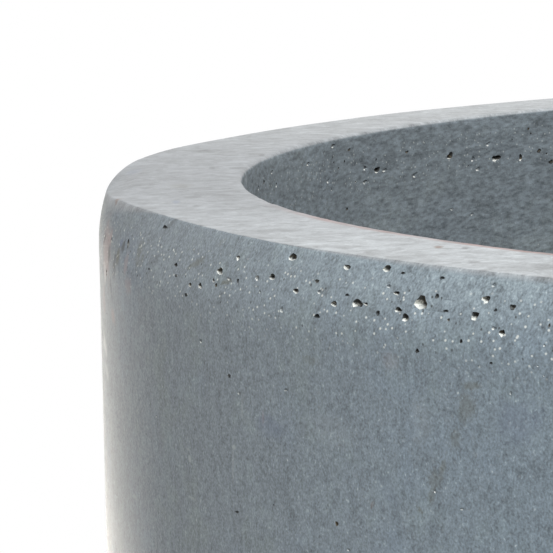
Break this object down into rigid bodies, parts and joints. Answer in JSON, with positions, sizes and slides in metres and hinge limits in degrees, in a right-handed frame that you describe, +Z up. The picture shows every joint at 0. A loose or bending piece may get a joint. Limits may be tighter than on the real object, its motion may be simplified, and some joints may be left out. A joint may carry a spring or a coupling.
{
  "type": "planter",
  "caption": "Round floor planter cast in grey concrete, with a thick straight-walled rim, an egg-shaped lower body on a flat foot, a drain plug and rubber foot pads.",
  "frame": {"origin": "centre of the planter's base, on the floor that its foot pads stand on", "axes": "+Z up along the planter's axis; X and Y run between the foot pads"},
  "size_m": [0.6, 0.6, 0.48],
  "materials": {
    "concrete": "bare cast concrete, fine speckle and air pits, sanded rim",
    "grey_plastic": "moulded, matt",
    "plug_rubber": "moulded, matt",
    "pad_rubber": "cut from sheet, matt"
  },
  "bodies": {
    "planter": {"shell": "concrete", "drain_sleeve": "grey_plastic", "foot_pad_1": "pad_rubber", "foot_pad_2": "pad_rubber", "foot_pad_3": "pad_rubber", "foot_pad_4": "pad_rubber"},
    "plug": {"drain_plug": "plug_rubber"}
  },
  "joints": [
    {"name": "plug_lift", "type": "slide", "parent": "planter", "child": "plug", "axis": [0, 0, 1], "range_m": [0, 0.5]}
  ]
}
